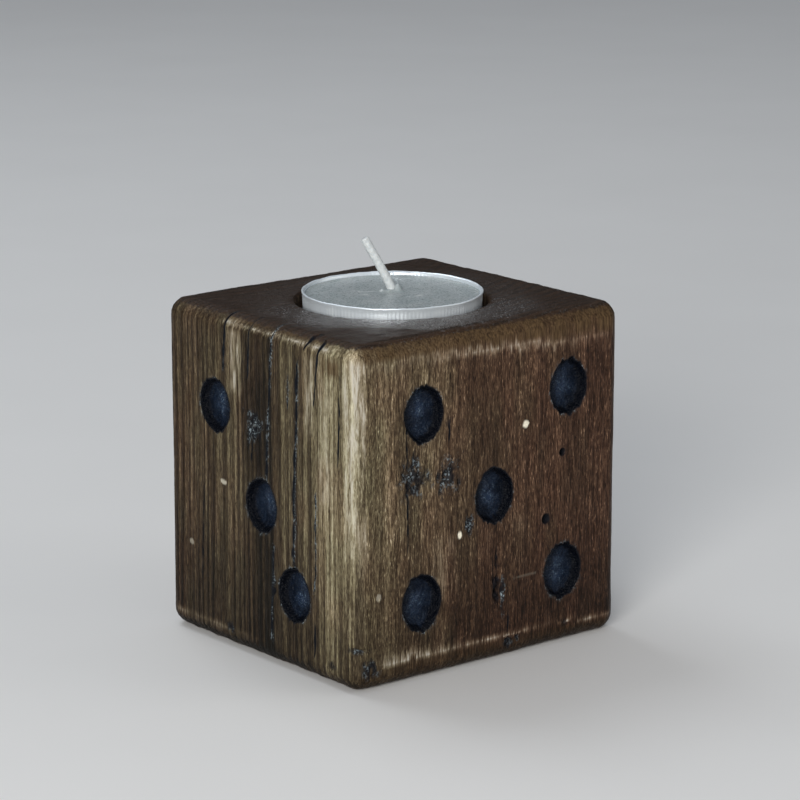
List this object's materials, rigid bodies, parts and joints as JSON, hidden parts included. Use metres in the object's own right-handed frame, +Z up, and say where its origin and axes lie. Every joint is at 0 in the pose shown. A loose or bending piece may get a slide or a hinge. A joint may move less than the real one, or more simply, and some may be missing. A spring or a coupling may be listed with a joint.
{
  "type": "tealight holder",
  "caption": "Tealight holder: a rounded-over timber block made up as a die, with black drilled pips and a wide blind bore in its top that holds a tealight.",
  "frame": {"origin": "middle of the block's underside, on the surface that it stands on", "axes": "+Z up, through the bore; -Y is the outward normal of the face with five pips, and -X of the face with three"},
  "size_m": [0.0706, 0.064, 0.0824],
  "materials": {
    "timber": "weathered, waxed",
    "pip_paint": "black paint, slightly glossy",
    "cup": "bright pressed foil",
    "wax": "translucent paraffin wax",
    "wick": "waxed cotton braid",
    "steel": "tinned sheet"
  },
  "bodies": {
    "die_block": {"wood_block": "timber", "pips_two": "pip_paint", "pips_three": "pip_paint", "pips_four": "pip_paint", "pips_five": "pip_paint", "pips_six": "pip_paint"},
    "cup": {"tealight_cup": "cup"},
    "candle": {"wax": "wax", "wick": "wick", "wick_sustainer": "steel"}
  },
  "joints": [
    {"name": "tealight_lift", "type": "slide", "parent": "die_block", "child": "cup", "axis": [0, 0, 1], "range_m": [0, 0.03]},
    {"name": "candle_lift", "type": "slide", "parent": "cup", "child": "candle", "axis": [0, 0, 1], "range_m": [0, 0.025]}
  ]
}
